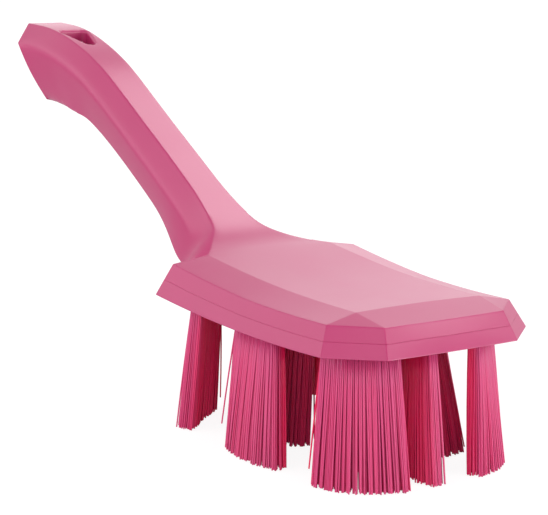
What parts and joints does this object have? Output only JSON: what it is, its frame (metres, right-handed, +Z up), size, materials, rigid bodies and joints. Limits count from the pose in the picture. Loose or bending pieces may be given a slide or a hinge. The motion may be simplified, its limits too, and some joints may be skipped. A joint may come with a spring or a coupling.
{
  "type": "hand brush",
  "caption": "Hand scrubbing brush: a faceted one-piece head and cranked handle with a hanging hole, and fused bristle units under the head.",
  "frame": {"origin": "centre of the bounding box in X and Y, at the bristle tips, which stand on Z = 0", "axes": "+X along the brush from the handle's end to the nose of the head, +Y to the left of the hand that holds it, +Z up from the bristle tips to the handle"},
  "size_m": [0.2615, 0.0938, 0.1199],
  "materials": {
    "moulded_body": "satin pink moulded polypropylene",
    "bristle": "pink polyester filament, fused at the root"
  },
  "bodies": {
    "root": {"brush_body": "moulded_body", "nose_bristle_unit": "bristle", "heel_bristle_unit": "bristle", "nose_corner_bristle_unit_left": "bristle", "nose_corner_bristle_unit_right": "bristle", "front_inner_bristle_unit_left": "bristle", "front_inner_bristle_unit_right": "bristle", "side_bristle_unit_left": "bristle", "side_bristle_unit_right": "bristle", "rear_inner_bristle_unit_left": "bristle", "rear_inner_bristle_unit_right": "bristle", "heel_corner_bristle_unit_left": "bristle", "heel_corner_bristle_unit_right": "bristle"}
  },
  "joints": []
}
